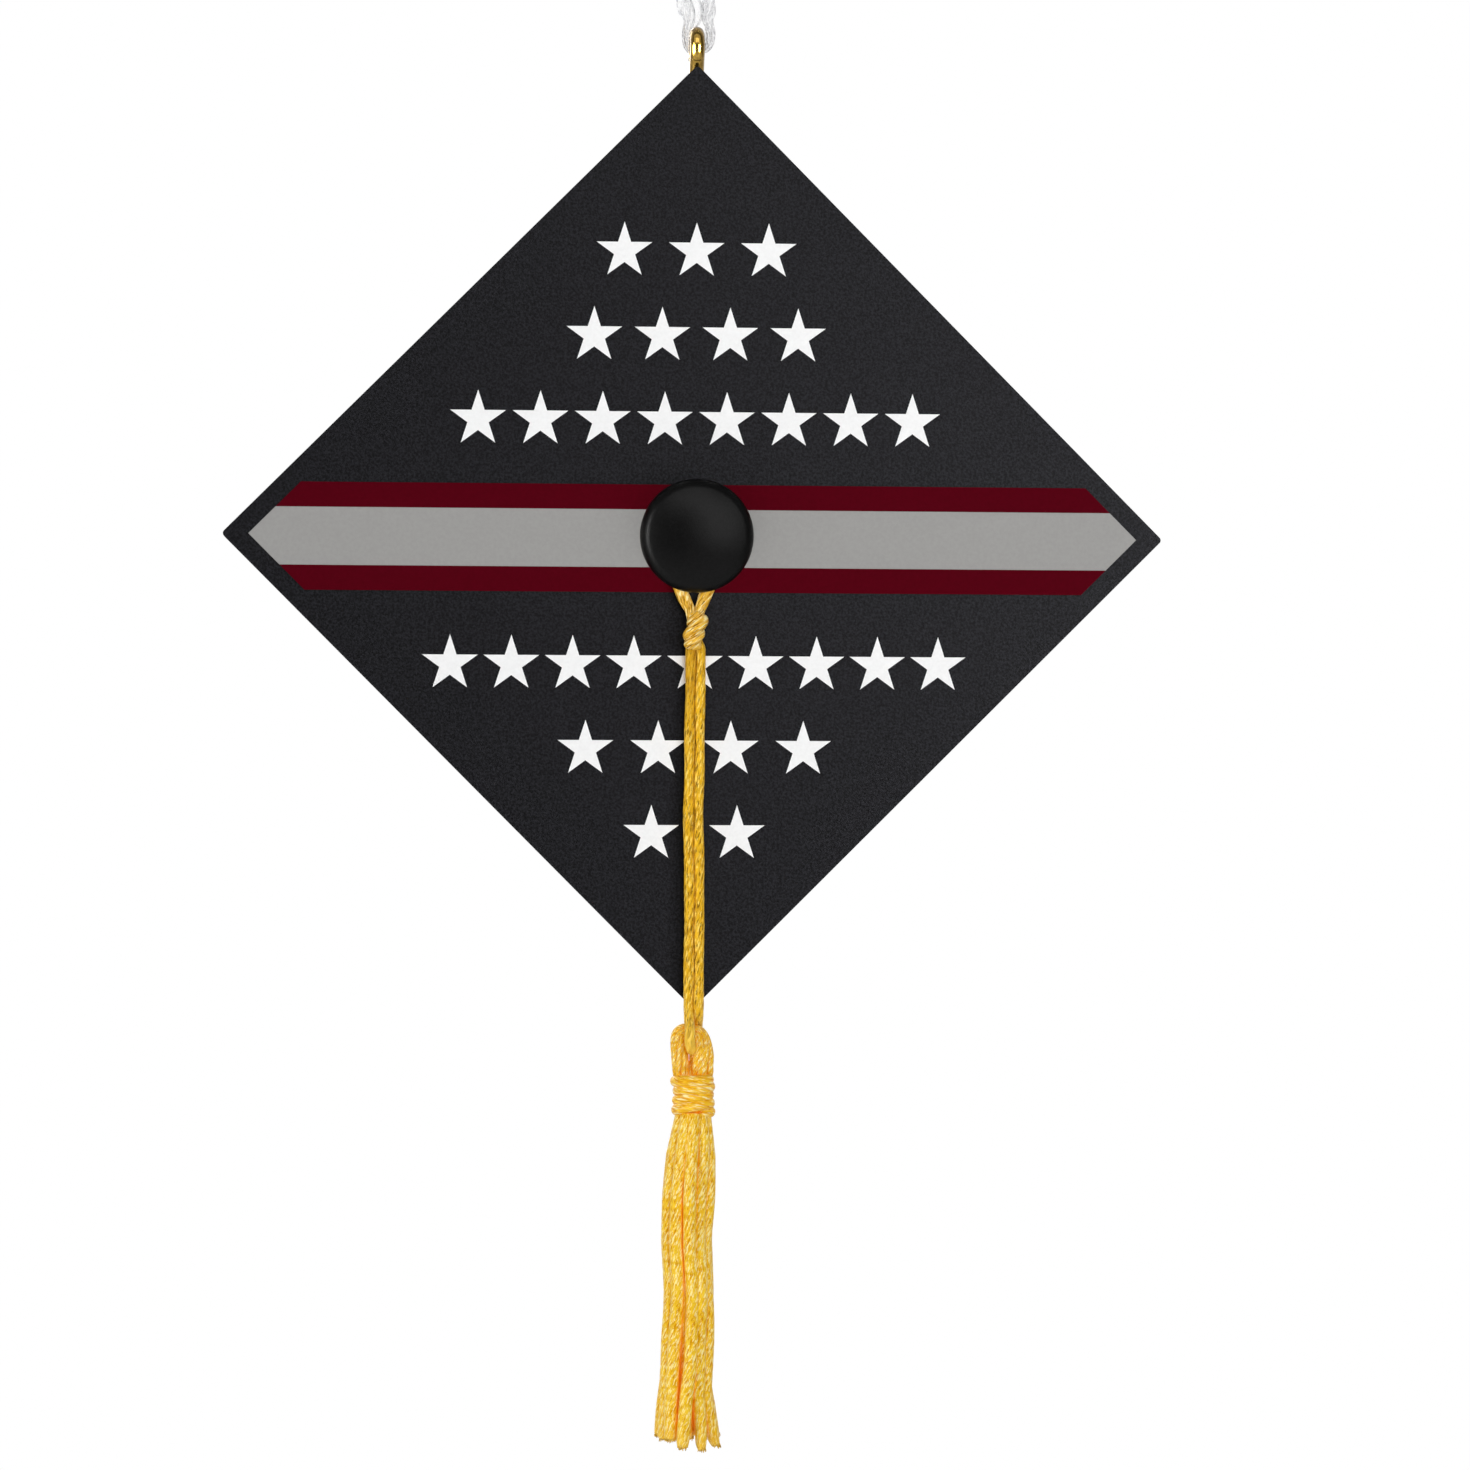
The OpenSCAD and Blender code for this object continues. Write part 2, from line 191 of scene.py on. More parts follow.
class Strand:
    """One swept strand as a closed mesh, with its UVs (share round, turns along).

    Its plies make one turn in each pitch, and flat narrows its section from side to side.
    Each point also has a painted shade, set by its depth between the plies, and a painted light called
    pale, both 0 to 1."""

    def __init__(
        self, points, radius, plies=4, pitch=4.3, depth=0.2, sides=32, turn=0.0, flat=1.0, first=None,
        pale=0.0,
    ):
        points = np.asarray(points, float)
        count = len(points)
        ahead, side, up = side_directions(points, first)
        run = run_of(points) / MM
        radius = np.broadcast_to(np.asarray(radius, float), (count,)) * MM
        depth = np.broadcast_to(np.asarray(depth, float), (count,))
        angles = TURN * np.arange(sides) / sides
        along = run / pitch
        lobe_angle = angles[None, :] - TURN * along[:, None] - turn
        share = np.array([lobes(row, plies, d) for row, d in zip(lobe_angle, depth)])
        spread = (radius[:, None] * share)[..., None]
        sideways = np.cos(angles)[None, :, None] * side[:, None, :] * flat
        upwards = np.sin(angles)[None, :, None] * up[:, None, :]
        self.points = (points[:, None, :] + spread * (sideways + upwards)).reshape(-1, 3)
        low = share.min(axis=1, keepdims=True)
        # painted shade between the plies: the further in a point lies, the darker its colour
        shown_depth = np.clip(depth / GROOVE_DEPTH, 0, 1)[:, None]
        painted_shade = shown_depth * (1 - share) / np.maximum(1 - low, 1e-6) if plies > 1 else 0 * share
        self.painted_shade = painted_shade.reshape(-1)
        self.pale = np.repeat(np.broadcast_to(np.asarray(pale, float), (count,)), sides)
        i, j = np.meshgrid(np.arange(count - 1), np.arange(sides), indexing="ij")
        i, j = i.ravel(), j.ravel()
        i2, j2 = i + 1, (j + 1) % sides
        self.faces = np.stack([i * sides + j, i * sides + j2, i2 * sides + j2, i2 * sides + j], axis=1)
        across = j / sides, (j + 1) / sides
        ends = along[i], along[i2]
        self.uvs = np.stack(
            [np.stack([across[a], ends[b]], axis=1) for a, b in ((0, 0), (1, 0), (1, 1), (0, 1))], axis=1
        )
        self.caps = []
        first_pole = points[0] - ahead[0] * radius[0] * CAP_REACH
        last_pole = points[-1] + ahead[-1] * radius[-1] * CAP_REACH
        self.add_cap(first_pole, 0, sides, True, along[0])
        self.add_cap(last_pole, (count - 1) * sides, sides, False, along[-1])

    def add_cap(self, pole, start, sides, backwards, along):
        """Closes one end with a low cone, from the ring of points that begins at start."""
        self.points = np.vstack([self.points, pole])
        self.painted_shade = np.append(self.painted_shade, CUT_END_SHADE)
        self.pale = np.append(self.pale, self.pale[start])
        top = len(self.points) - 1
        for j in range(sides):
            a, b = start + j, start + (j + 1) % sides
            face = (b, a, top) if backwards else (a, b, top)
            self.caps.append((face, ((j / sides, along), ((j + 1) / sides, along), (j / sides, along))))


def strand_mesh(name, strands):
    """One object that holds several strands."""
    points, painted_shade, pale, faces, uvs, start = [], [], [], [], [], 0
    for s in strands:
        points.append(s.points)
        painted_shade.append(s.painted_shade)
        pale.append(s.pale)
        faces += (s.faces + start).tolist()
        uvs.append(s.uvs.reshape(-1, 2))
        faces += [[v + start for v in face] for face, _ in s.caps]
        uvs.append(np.array([uv for _, corner in s.caps for uv in corner]))
        start += len(s.points)
    mesh = bpy.data.meshes.new(name)
    mesh.from_pydata(np.vstack(points).tolist(), [], faces)
    mesh.uv_layers.new(name="UVMap").data.foreach_set("uv", np.vstack(uvs).astype(np.float32).ravel())
    # painted shade and painted light are stored per point for the yarn shader
    for attribute, values in (("painted_shade", painted_shade), ("pale", pale)):
        stored = mesh.attributes.new(attribute, "FLOAT", "POINT").data
        stored.foreach_set("value", np.concatenate(values).astype(np.float32))
    mesh.polygons.foreach_set("use_smooth", [True] * len(mesh.polygons))
    return shown(name, mesh)


def shown(name, mesh):
    """A new object in the scene for a mesh."""
    mesh.validate()
    mesh.update()
    piece = bpy.data.objects.new(name, mesh)
    bpy.context.scene.collection.objects.link(piece)
    return piece


def lathe(name, profile, sides=96):
    """A turned piece about the button's axis, from (radius, front) points that begin and end on it."""
    angles = TURN * np.arange(sides) / sides
    points, rings = [], []
    for radius, front in profile:
        if radius < 1e-6:
            rings.append([len(points)])
            points.append(at(0, front, 0))
        else:
            rings.append(list(range(len(points), len(points) + sides)))
            points += [at(radius * math.cos(a), front, radius * math.sin(a)) for a in angles]
    faces = []
    for low, high in zip(rings, rings[1:]):
        for j in range(sides):
            k = (j + 1) % sides
            if len(low) == 1:
                faces.append((low[0], high[k], high[j]))
            elif len(high) == 1:
                faces.append((low[j], low[k], high[0]))
            else:
                faces.append((low[j], low[k], high[k], high[j]))
    mesh = bpy.data.meshes.new(name)
    mesh.from_pydata([list(p) for p in points], [], faces)
    return shown(name, mesh)


def smooth_by_angle(piece, degrees=35):
    """Smooth shading, with edges sharper than the angle kept crisp."""
    mesh = piece.data
    mesh.polygons.foreach_set("use_smooth", [True] * len(mesh.polygons))
    mesh.set_sharp_from_angle(angle=math.radians(degrees))
    return piece


def place(piece, body, material, slot, *nodes):
    """Gives a piece its material and body, and hides the CAD nodes it stands for."""
    piece.data.materials.clear()
    piece.data.materials.append(material)
    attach(piece, body)
    if nodes:
        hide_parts(*nodes)
    return piece


# ---------- materials ----------


class Shader:
    """A material's node tree, with short calls to add and join nodes."""

    def __init__(self, name):
        self.material = bpy.data.materials.new(name)
        self.material.use_nodes = True
        self.tree = self.material.node_tree
        self.surface = self.tree.nodes["Principled BSDF"]
        self.coords = self.tree.nodes.new("ShaderNodeTexCoord")

    def add(self, kind, inputs=None, **settings):
        node = self.tree.nodes.new(kind)
        for name, value in settings.items():
            setattr(node, name, value)
        for name, value in (inputs or {}).items():
            self.set(node.inputs[name], value)
        return node

    def set(self, socket, value):
        if isinstance(value, bpy.types.NodeSocket):
            self.tree.links.new(value, socket)
        else:
            socket.default_value = value

    def finish(self, **inputs):
        for name, value in inputs.items():
            self.set(self.surface.inputs[name.replace("_", " ")], value)
        return self.material

    def noise(self, size_mm, detail=3.0, rough=0.5):
        """Grey noise in space, whose features are about size_mm wide."""
        return self.noise_at(self.coords.outputs["Object"], 1 / (size_mm * MM), detail, rough)

    def noise_at(self, vector, scale, detail=2.0, rough=0.5):
        inputs = {"Vector": vector, "Scale": scale, "Detail": detail, "Roughness": rough}
        return self.add("ShaderNodeTexNoise", inputs).outputs["Fac"]

    def round_strand(self, fibres_round, fibres_a_turn, slant=0.0):
        """A place for noise on a strand's surface: seamless round it, and stretched along it."""
        split = self.add("ShaderNodeSeparateXYZ", {"Vector": self.coords.outputs["UV"]})
        turns = split.outputs["Y"]
        angle = self.maths("MULTIPLY", self.maths("MULTIPLY_ADD", turns, slant, split.outputs["X"]), TURN)
        reach = fibres_round / TURN
        x = self.maths("MULTIPLY", self.maths("COSINE", angle), reach)
        y = self.maths("MULTIPLY", self.maths("SINE", angle), reach)
        z = self.maths("MULTIPLY", turns, fibres_a_turn)
        return self.add("ShaderNodeCombineXYZ", {0: x, 1: y, 2: z}).outputs[0]

    def maths(self, operation, a, b=0.0, c=0.0):
        return self.add("ShaderNodeMath", {0: a, 1: b, 2: c}, operation=operation).outputs[0]

    def remap(self, value, low, high, to_low, to_high):
        inputs = {"Value": value, "From Min": low, "From Max": high, "To Min": to_low, "To Max": to_high}
        return self.add("ShaderNodeMapRange", inputs).outputs["Result"]

    def mix(self, share, a, b):
        node = self.add("ShaderNodeMix", data_type="RGBA")
        self.set(node.inputs[0], share)
        self.set(node.inputs[6], a)
        self.set(node.inputs[7], b)
        return node.outputs[2]

    def bump(self, height, depth_mm, strength=1.0, before=None):
        inputs = {"Height": height, "Distance": depth_mm * MM, "Strength": strength}
        node = self.add("ShaderNodeBump", inputs)
        if before is not None:
            self.set(node.inputs["Normal"], before)
        return node.outputs["Normal"]


def rgb(red, green, blue):
    """A colour given as on a screen, 0 to 255, in the linear values that nodes use."""
    shares = [c / 255 for c in (red, green, blue)]
    linear = [c / 12.92 if c <= 10 / 255 else ((c + 0.055) / 1.055) ** 2.4 for c in shares]
    return (*linear, 1.0)


def moulded_black(name, low, high, rough):
    """Matte black moulding: very fine even grain, faint cloudy patches."""
    m = Shader(name)
    grain = m.noise(0.26, 4, rough=0.7)
    patches = m.noise(9, 2)
    colour = m.mix(m.remap(grain, 0.4, 0.6, 0, 1), low, high)
    roughness = m.remap(patches, 0.3, 0.7, rough - 0.04, rough + 0.05)
    normal = m.bump(grain, 0.04, 0.8)
    return m.finish(Base_Color=colour, Roughness=roughness, Normal=normal, Specular_IOR_Level=0.12)


def printed_ink(name, colour, darker):
    """Flat screen-printed ink: even colour and faint mottling, with next to no shine."""
    m = Shader(name)
    mottle = m.noise(0.35, 3, rough=0.6)
    shade = m.mix(m.remap(mottle, 0.35, 0.65, 0, 1), darker, colour)
    normal = m.bump(m.noise(0.18, 3), 0.004, 0.4)
    return m.finish(Base_Color=shade, Roughness=0.7, Normal=normal, Specular_IOR_Level=0.03)


def satin_black():
    """Satin black button, with fine dust-like grain."""
    m = Shader("satin_black")
    grain = m.noise(0.22, 4, rough=0.7)
    colour = m.mix(m.remap(grain, 0.35, 0.7, 0, 1), rgb(4, 4, 4), rgb(12, 12, 12))
    roughness = m.remap(m.noise(1.3, 3), 0.3, 0.7, 0.34, 0.38)
    normal = m.bump(grain, 0.02, 0.8)
    return m.finish(Base_Color=colour, Roughness=roughness, Normal=normal, Specular_IOR_Level=0.12)


def polished_brass():
    """Brass wire with an olive cast, slightly dull, with faint dark mottling."""
    m = Shader("polished_brass")
    cloud = m.noise(0.5, 3)
    colour = m.mix(m.remap(cloud, 0.35, 0.65, 0, 1), rgb(134, 102, 26), rgb(172, 138, 52))
    roughness = m.remap(m.noise(0.4, 3), 0.3, 0.7, 0.14, 0.2)
    m.finish(Base_Color=colour, Metallic=1.0, Roughness=roughness, Coat_Weight=0.6, Coat_Roughness=0.12)
    return m.finish(Normal=m.bump(m.noise(0.7, 1), 0.002, 0.2))


def zinc_steel():
    """Bright zinc plate, slightly mottled."""
    m = Shader("zinc_steel")
    colour = m.mix(m.remap(m.noise(0.5, 4), 0.35, 0.65, 0, 1), rgb(150, 152, 158), rgb(205, 206, 210))
    roughness = m.remap(m.noise(0.2, 4), 0.3, 0.7, 0.24, 0.42)
    normal = m.bump(m.noise(0.15, 3), 0.006, 0.4)
    return m.finish(Base_Color=colour, Metallic=1.0, Roughness=roughness, Normal=normal)


def silky_yarn(name, glint, crest, shade, groove_shade, dark, tint, strokes=(23, 7.0, -0.55), glow=0.0):
    """Twisted rayon: grooves in painted shade, bright and dark strokes along the twist, and painted
    highlights.

    Strokes are how many lie round the yarn, how many along a turn, and their slant. Where glow is above 0,
    the narrow gaps between the yarns get painted bounce light: orange colour and a faint emission."""
    m = Shader(name)
    painted_shade = m.add("ShaderNodeAttribute", attribute_name="painted_shade").outputs["Fac"]
    round_it, along, slant = strokes
    fibres = m.noise_at(m.round_strand(round_it, along, slant), 1.0, 2.0, 0.6)
    threads = m.noise_at(m.round_strand(0.8 * round_it, 0.7 * along, 0.9 * slant), 1.3, 2.0, 0.6)
    patches = m.noise(1.1, 2)
    streak = m.maths("MULTIPLY_ADD", threads, 0.65, m.maths("MULTIPLY", patches, 0.35))
    colour = m.mix(m.remap(streak, 0.38, 0.6, 0, 1), shade, crest)
    # painted shade between the plies, which also carries the painted shadow under the cord's knot
    colour = m.mix(m.remap(painted_shade, 0.2, 1.0, 0, 0.45), colour, groove_shade)
    colour = m.mix(m.remap(threads, 0.37, 0.45, 0.85, 0), colour, dark)
    # painted highlights: bright flecks where the fibre noise is high, fewer in the painted shade
    lit = m.maths("MULTIPLY", m.remap(fibres, 0.52, 0.6, 0, 0.95), m.remap(painted_shade, 0.2, 0.9, 1, 0.2))
    colour = m.mix(lit, colour, glint)
    # painted light: where pale is set, the colour is lifted towards light gold and the painted bounce
    # light is weakened
    pale = m.add("ShaderNodeAttribute", attribute_name="pale").outputs["Fac"]
    colour = m.mix(m.maths("MULTIPLY", pale, 0.6), colour, rgb(244, 200, 80))
    # painted bounce light: orange colour and a faint emission where the gaps are narrow
    if glow > 0:
        gap_mm = 0.9
        open_sky = m.add("ShaderNodeAmbientOcclusion", {"Distance": gap_mm * MM}, samples=6).outputs["AO"]
        closed = m.maths("MULTIPLY", m.remap(open_sky, 0.1, 0.65, 1, 0), m.remap(pale, 0, 0.7, 1, 0.2))
        colour = m.mix(m.maths("MULTIPLY", closed, 0.6), colour, rgb(232, 140, 8))
        m.finish(Emission_Color=rgb(226, 136, 20), Emission_Strength=m.maths("MULTIPLY", closed, glow))
    height = m.maths("MULTIPLY_ADD", fibres, 0.5, m.maths("MULTIPLY", threads, 0.5))
    normal = m.bump(height, 0.13, 0.9)
    m.finish(Base_Color=colour, Roughness=m.remap(fibres, 0.35, 0.65, 0.42, 0.26), Normal=normal)
    return m.finish(Specular_IOR_Level=m.remap(threads, 0.37, 0.45, 0.1, 0.42), Specular_Tint=tint)


def sheer_organza():
    """Sheer white organza: nearly clear, denser at a slant."""
    m = Shader("sheer_organza")
    crease = m.noise(0.5, 3)
    slant = m.add("ShaderNodeLayerWeight", {"Blend": 0.4}).outputs["Facing"]
    creased = m.remap(crease, 0.35, 0.65, 0.005, 0.035)
    cover = m.maths("MULTIPLY_ADD", m.maths("POWER", slant, 2.0), 0.04, creased)
    m.finish(Base_Color=rgb(240, 240, 243), Roughness=0.45, Alpha=cover, Specular_IOR_Level=0.3)
    return m.finish(Normal=m.bump(crease, 0.04, 0.4))


def drawn_threads():
    """Threads of the organza that stand out where it is gathered."""
    m = Shader("drawn_threads")
    colour = m.mix(m.remap(m.noise(0.3, 2), 0.4, 0.6, 0, 1), rgb(212, 212, 215), rgb(254, 254, 255))
    return m.finish(Base_Color=colour, Roughness=0.5, Specular_IOR_Level=0.3)


BLACK = moulded_black("matte_black", rgb(2, 2, 4), rgb(25, 25, 29), 0.5)
CROWN_BLACK = moulded_black("matte_black_crown", rgb(17, 17, 19), rgb(28, 28, 30), 0.6)
BUTTON_BLACK = satin_black()
GREY_INK = printed_ink("grey_ink", rgb(162, 161, 159), rgb(158, 157, 155))
MAROON_INK = printed_ink("maroon_ink", rgb(85, 0, 17), rgb(81, 0, 15))
WHITE_INK = printed_ink("white_ink", rgb(255, 255, 255), rgb(250, 250, 250))
BRASS = polished_brass()
STEEL = zinc_steel()
CORD_GOLD = silky_yarn(
    "cord_gold", rgb(255, 222, 110), rgb(238, 186, 28), rgb(200, 142, 4), rgb(144, 90, 2),
    rgb(84, 52, 0), rgb(255, 214, 110), strokes=(20, 8.5, -0.3)
)
# The loop and knot are the same cord as the run, painted paler to stand in for the light they catch.
LIT_KNOT_GOLD = silky_yarn(
    "lit_knot_gold", rgb(255, 240, 174), rgb(242, 194, 70), rgb(214, 152, 24), rgb(170, 106, 8),
    rgb(120, 76, 6), rgb(255, 226, 160)
)
YARN_GOLD = silky_yarn(
    "yarn_gold", rgb(252, 238, 176), rgb(245, 200, 48), rgb(232, 171, 10), rgb(226, 140, 4),
    rgb(212, 140, 4), rgb(255, 226, 150), glow=0.22
)
SKIRT_GOLD = silky_yarn(
    "skirt_gold", rgb(251, 234, 160), rgb(240, 198, 46), rgb(226, 168, 10), rgb(222, 144, 6),
    rgb(206, 138, 6), rgb(255, 222, 140), strokes=(27, 9.5, -0.45), glow=0.24
)
ORGANZA = sheer_organza()
THREADS = drawn_threads()

# ---------- board, printing, crown and fixings ----------


def finish_cad_node(name, material, bevel_mm=0.0):
    """Keeps a CAD node's own shape, with a material and crisp bevelled edges."""
    node = frame["nodes"][name]
    node.data.materials.clear()
    node.data.materials.append(material)
    if bevel_mm:
        bevel = node.modifiers.new("edge", "BEVEL")
        bevel.width = bevel_mm * MM
        bevel.segments = 2
        bevel.limit_method = "ANGLE"
        bevel.angle_limit = math.radians(40)


def board_and_printing():
    finish_cad_node("board", BLACK, 0.12)
    finish_cad_node("crown", CROWN_BLACK, 0.1)
    finish_cad_node("print_band_grey", GREY_INK)
    finish_cad_node("print_band_maroon", MAROON_INK)
    finish_cad_node("print_stars_upper", WHITE_INK)
    finish_cad_node("print_stars_lower", WHITE_INK)


def button():
    """Turned button: rounded rim and shoulder, and a low dome, on a stem and a tenon with a pilot hole."""
    head_low = BOARD_FRONT + 1.35
    pilot_r, pilot_end = 0.8, 0.6
    tenon_r, tenon_end = 1.5, -HEAD_HIGH.y / MM
    stem_r, rim_r, chamfer = 2.0, 0.4, 0.05
    dome_angle, shoulder_r = math.radians(23), 1.6
    dome_r = (HEAD_R - shoulder_r * (1 - math.sin(dome_angle))) / math.sin(dome_angle)
    shoulder_top = HEAD_TOP - dome_r * (1 - math.cos(dome_angle))
    profile = [(0, pilot_end), (pilot_r, pilot_end), (pilot_r, tenon_end), (tenon_r - chamfer, tenon_end)]
    profile += [(tenon_r, tenon_end + chamfer), (tenon_r, BOARD_FRONT), (stem_r, BOARD_FRONT)]
    profile += [(stem_r, head_low), (HEAD_R - rim_r - 0.1, head_low)]
    for a in np.linspace(0.2, 1.5, 6):
        profile.append((HEAD_R - rim_r * (1 - math.sin(a)), head_low + rim_r * (1 - math.cos(a))))
    for a in np.linspace(math.pi / 2, dome_angle, 24)[:-1]:
        r = HEAD_R - shoulder_r * (1 - math.sin(a))
        profile.append((r, shoulder_top - shoulder_r * (math.cos(dome_angle) - math.cos(a))))
    for a in np.linspace(dome_angle, 0, 20):
        profile.append((dome_r * math.sin(a), HEAD_TOP - dome_r * (1 - math.cos(a))))
    piece = smooth_by_angle(lathe("button_turned", profile, 128))
    place(piece, "cap", BUTTON_BLACK, "button_black", "button")


def fixings():
    """Washer and cross-recess screw that hold the button from inside the crown."""
    for name in ("button_screw", "screw_washer"):
        finish_cad_node(name, STEEL, 0.05)


def screw_eye():
    """Brass wire bent into an eye: a threaded shank, and a ring that nearly closes at the back."""
    r = EYE_RING_R
    shank_end = EYE_LOW.z / MM
    ring = [(r * math.cos(a), r * math.sin(a)) for a in np.radians(np.arange(228, -67, -4))]
    shank = [(0, shank_end), (0, shank_end * 0.6), (0, -r - 2.2), (-0.1, -r - 1.0), (-0.5, -r - 0.25)]
    step = 0.05 * MM
    points = evenly(curve_through([(0, y * MM, z * MM) for y, z in shank + ring], step), step)
    run = run_of(points) / MM
    radius = np.full(len(points), EYE_WIRE_R * 1.07)
    thread_pitch, thread_depth, point_length = 0.7, 0.06, 1.3
    thread_top = abs(shank_end) - r - 1.6
    on_thread = run < thread_top
    ridge = thread_depth * np.abs(((run / thread_pitch) % 1) * 2 - 1)
    tapered = np.clip(run[on_thread] / point_length + 0.15, 0, 1)
    radius[on_thread] = (EYE_WIRE_R - 0.13 + ridge)[on_thread] * tapered
    end_length = 0.4
    to_end = run[-1] - run
    rounded = to_end < end_length
    shrink = (1 - to_end[rounded] / end_length) ** 2 * 0.7
    radius[rounded] = EYE_WIRE_R * np.sqrt(np.clip(1 - shrink, 0, 1))
    wire = Strand(points, radius, plies=1, sides=28, first=(1, 0, 0))
    place(strand_mesh("eye_wire", [wire]), "cap", BRASS, "brass", "screw_eye")


# ---------- tassel cord ----------

CORD_PLIES, CORD_PITCH = 5, 6.6


def cord_loop():
    """The cord's closed end round the button's stem, and its two slightly flat legs down to the knot."""
    loop_r = 2.6
    front = CORD_FRONT
    angles = np.radians(np.arange(196, -17, -8))
    arc = [(loop_r * math.cos(a), front, -loop_r * math.sin(a)) for a in angles]
    left = [(-0.35, KNOT_FRONT, KNOT_TOP + 1.2), (-0.62, front + 0.3, KNOT_TOP + 0.1)]
    left += [(-1.15, front, KNOT_TOP - 1.0), (-1.9, front, 4.2)]
    right = [(2.0, front, 3.6), (1.2, front, 5.4), (0.45, front + 0.3, KNOT_TOP + 0.1)]
    right += [(0.2, KNOT_FRONT, KNOT_TOP + 1.2)]
    points = curve_through([at(*p) for p in left + arc + right], FINE)
    run = run_of(points) / MM
    from_knot = np.minimum(run, run[-1] - run)
    swell = np.clip((from_knot - 0.8) / 1.6, 0, 1) * np.clip((9 - from_knot) / 3, 0, 1)
    radius = 0.53 + 0.13 * swell
    strand = Strand(points, radius, CORD_PLIES, CORD_PITCH, flat=0.8)
    place(strand_mesh("cord_loop_strand", [strand]), "loop", LIT_KNOT_GOLD, "gold_cord", "cord_loop")


def cord_knot():
    """Overhand knot in the doubled cord: soft fat wraps, leaning up to the right, over the cord inside."""
    turns, first_angle = 2.3, 0.2
    length = KNOT_END - KNOT_TOP
    lean_up = 0.45
    path = []
    for t in np.linspace(0, 1, 70):
        angle = TURN * (turns * t + first_angle)
        swell = math.sin(math.pi * (0.12 + 0.8 * t)) ** 0.7
        across = 0.26 - 0.6 * t + (0.22 + 0.3 * swell) * math.cos(angle)
        front = KNOT_FRONT + (0.25 + 0.25 * swell) * math.sin(angle)
        down = KNOT_TOP + 0.75 + (length - 1.55) * t - lean_up * math.cos(angle) * swell
        path.append(at(across, front, down))
    points = curve_through(path, FINE)
    share = np.linspace(0, 1, len(points))
    wraps = Strand(points, 0.55 + 0.18 * np.sin(math.pi * share) ** 0.6, 6, 5.4, depth=0.13, sides=40)
    core_path = [at(0.05, KNOT_FRONT, KNOT_TOP + 0.5), at(0, KNOT_FRONT, (KNOT_TOP + KNOT_END) / 2)]
    core = curve_through(core_path + [at(-0.15, KNOT_FRONT - 0.3, KNOT_END - 0.3)], FINE)
    knot = strand_mesh("knot_wraps", [wraps, Strand(core, 0.72, CORD_PLIES, CORD_PITCH)])
    place(knot, "cord", LIT_KNOT_GOLD, "gold_cord", "cord_knot")


def cord_side(side, top, end, count=12):
    """One of the two cords side by side on the board, from the top down, as (across, front, down)."""
    points = []
    for t in np.linspace(0, 1, count):
        sway = 0.06 * math.sin(TURN * (1.4 * t + 0.15))
        sway += side * 0.03 * math.sin(TURN * (3.1 * t + 0.3 * side))
        points.append((side * (CORD_X - 0.06) + sway - 0.04, CORD_FRONT + 0.08, top + (end - top) * t))
    return points


def cord_run():
    """One cord: from the knot down the left, round the bight under the folded yarns, and up the right.

    Below the knot a painted shadow of the knot darkens it, more on the left, and painted light makes it
    palest at the bight."""
    top, end = KNOT_END + 0.1, CORNER_REACH + 0.2
    left, right = cord_side(-1, top, end), cord_side(1, top, end)
    bight = []
    for a in np.radians(np.arange(68, 293, 16)):
        out, down = BIGHT_R * math.sin(a), BIGHT_DOWN - BIGHT_R * math.cos(a)
        bight.append((0.02 - 0.5 * math.sin(a), CORD_FRONT + out, down))
    start = [(-0.45, KNOT_FRONT - 0.35, top - 1.0)]
    stop = [(0.2, KNOT_FRONT - 0.35, top - 1.0)]
    path = start + left + bight + right[::-1] + stop
    points = curve_through([at(*p) for p in path], FINE)
    share = np.linspace(0, 1, len(points))
    radius = CORD_R * (1.01 + 0.06 * np.sin(TURN * 11 * share))
    below = (BUTTON_AXIS[2] - points[:, 2]) / MM
    # painted light: the cord is made paler towards and round the bight
    pale = np.interp(below, [BIGHT_DOWN - 4, BIGHT_DOWN - 1, BIGHT_DOWN + 0.5], [0.15, 0.4, 1])
    strand = Strand(points, radius, CORD_PLIES, CORD_PITCH, pale=pale)
    # painted shadow of the knot: the cord just below it takes more painted shade, more on the left
    from_knot = (BUTTON_AXIS[2] - strand.points[:, 2]) / MM - KNOT_END
    on_left = strand.points[:, 0] < BUTTON_AXIS[0]
    knot_shadow_left = np.interp(from_knot, [0, 6, 12], [0.9, 0.8, 0])
    knot_shadow_right = np.interp(from_knot, [0, 3], [0.6, 0])
    strand.painted_shade = np.maximum(strand.painted_shade, np.where(on_left, knot_shadow_left, knot_shadow_right))
    cord = strand_mesh("cord_run_strand", [strand])
    cord.data.materials.append(CORD_GOLD)
    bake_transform(cord)
    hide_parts("cord_left", "cord_right", "cord_bight")


# ---------- tassel ----------


def bundle(path, count, outer, pitch, lay_turns):
    """Twisted yarns laid along one path: a core, and count yarns round it, out to the outer radius."""
    _, side, up = side_directions(path, first=(0, 1, 0))
    share = np.linspace(0, 1, len(path))
    outer = np.broadcast_to(outer, share.shape)
    yarn_r = outer * 0.33
    ring = outer - yarn_r
    yarns = [Strand(path, outer - 1.5 * yarn_r, pitch=2.2 * pitch, sides=40)]
    for k in range(count):
        angle = TURN * (k / count + lay_turns * share) + 0.2 * np.sin(TURN * (1.5 * share + rng.random()))
        offset = np.cos(angle)[:, None] * side + np.sin(angle)[:, None] * up
        reach = ring * (1 + 0.05 * np.sin(TURN * (2 * share + rng.random())))
        points = path + offset * (reach * MM)[:, None]
        own_pitch, turn = pitch * rng.uniform(0.9, 1.15), rng.uniform(0, 3)
        yarns.append(Strand(points, yarn_r, pitch=own_pitch, depth=0.13, turn=turn))
    return yarns


